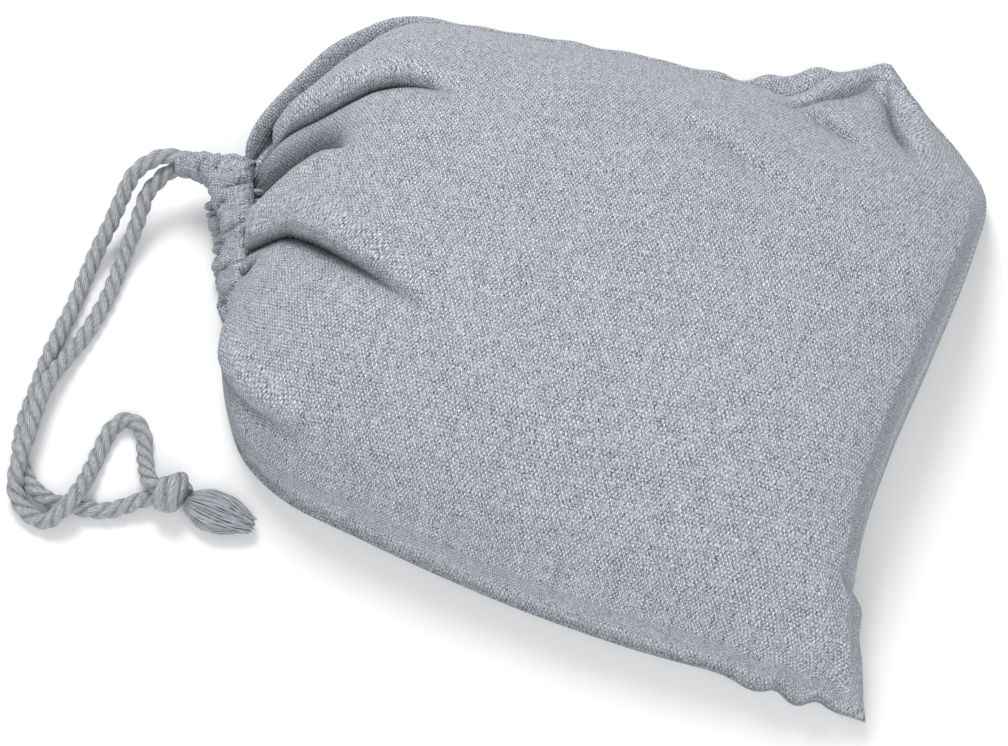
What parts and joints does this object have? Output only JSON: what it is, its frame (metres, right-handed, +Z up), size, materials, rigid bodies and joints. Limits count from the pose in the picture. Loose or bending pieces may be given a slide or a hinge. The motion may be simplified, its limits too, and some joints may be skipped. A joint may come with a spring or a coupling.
{
  "type": "drawstring laundry bag",
  "caption": "Filled canvas drawstring laundry bag lying on its back, neck gathered by a twisted cord that ends in a knot and frayed tassel.",
  "frame": {"origin": "centre of the filled bag's footprint without its free cord, on the surface that it lies on", "axes": "+X from the gathered neck to the bottom seam, +Y across the bag from the lower side seam to the upper one, +Z up through the front panel"},
  "size_m": [0.4146, 0.3314, 0.0892],
  "materials": {
    "canvas": "coarse plain-weave cotton canvas, heathered grey, matt",
    "thread": "matt grey sewing thread",
    "cord": "three-strand twisted cotton cord, matt grey",
    "tassel_yarn": "loose frayed cotton yarn, matt grey",
    "laundry": "plain folded cotton, matt off-white"
  },
  "bodies": {
    "bag": {"front_panel": "canvas", "back_panel": "canvas", "front_casing": "canvas", "back_casing": "canvas", "cord_exit_sleeve": "canvas", "side_stitching_upper": "thread", "side_stitching_lower": "thread", "bottom_stitching": "thread", "hem_stitching_front": "thread", "hem_stitching_back": "thread", "laundry_bundle_lower": "laundry", "laundry_bundle_middle": "laundry", "laundry_bundle_upper": "laundry", "casing_cord": "cord"},
    "cord_roots": {"cord_root_upper": "cord", "cord_root_lower": "cord"},
    "cord_tail": {"cord_leg_upper": "cord", "cord_leg_lower": "cord", "end_knot": "cord"},
    "tassel_end": {"tassel": "tassel_yarn"}
  },
  "joints": [
    {"name": "drawcord_pull", "type": "slide", "parent": "bag", "child": "cord_roots", "axis": [-1, 0, 0], "range_m": [0, 0.02]},
    {"name": "drawcord_swing", "type": "hinge", "parent": "cord_roots", "child": "cord_tail", "pos_m": [-0.1993, 0.0075, 0.024], "axis": [0, 0, 1], "range_deg": [-70, 0]},
    {"name": "tassel_swing", "type": "hinge", "parent": "cord_tail", "child": "tassel_end", "pos_m": [-0.144, -0.138, 0.01], "axis": [0, 0, 1], "range_deg": [-30, 8]}
  ]
}
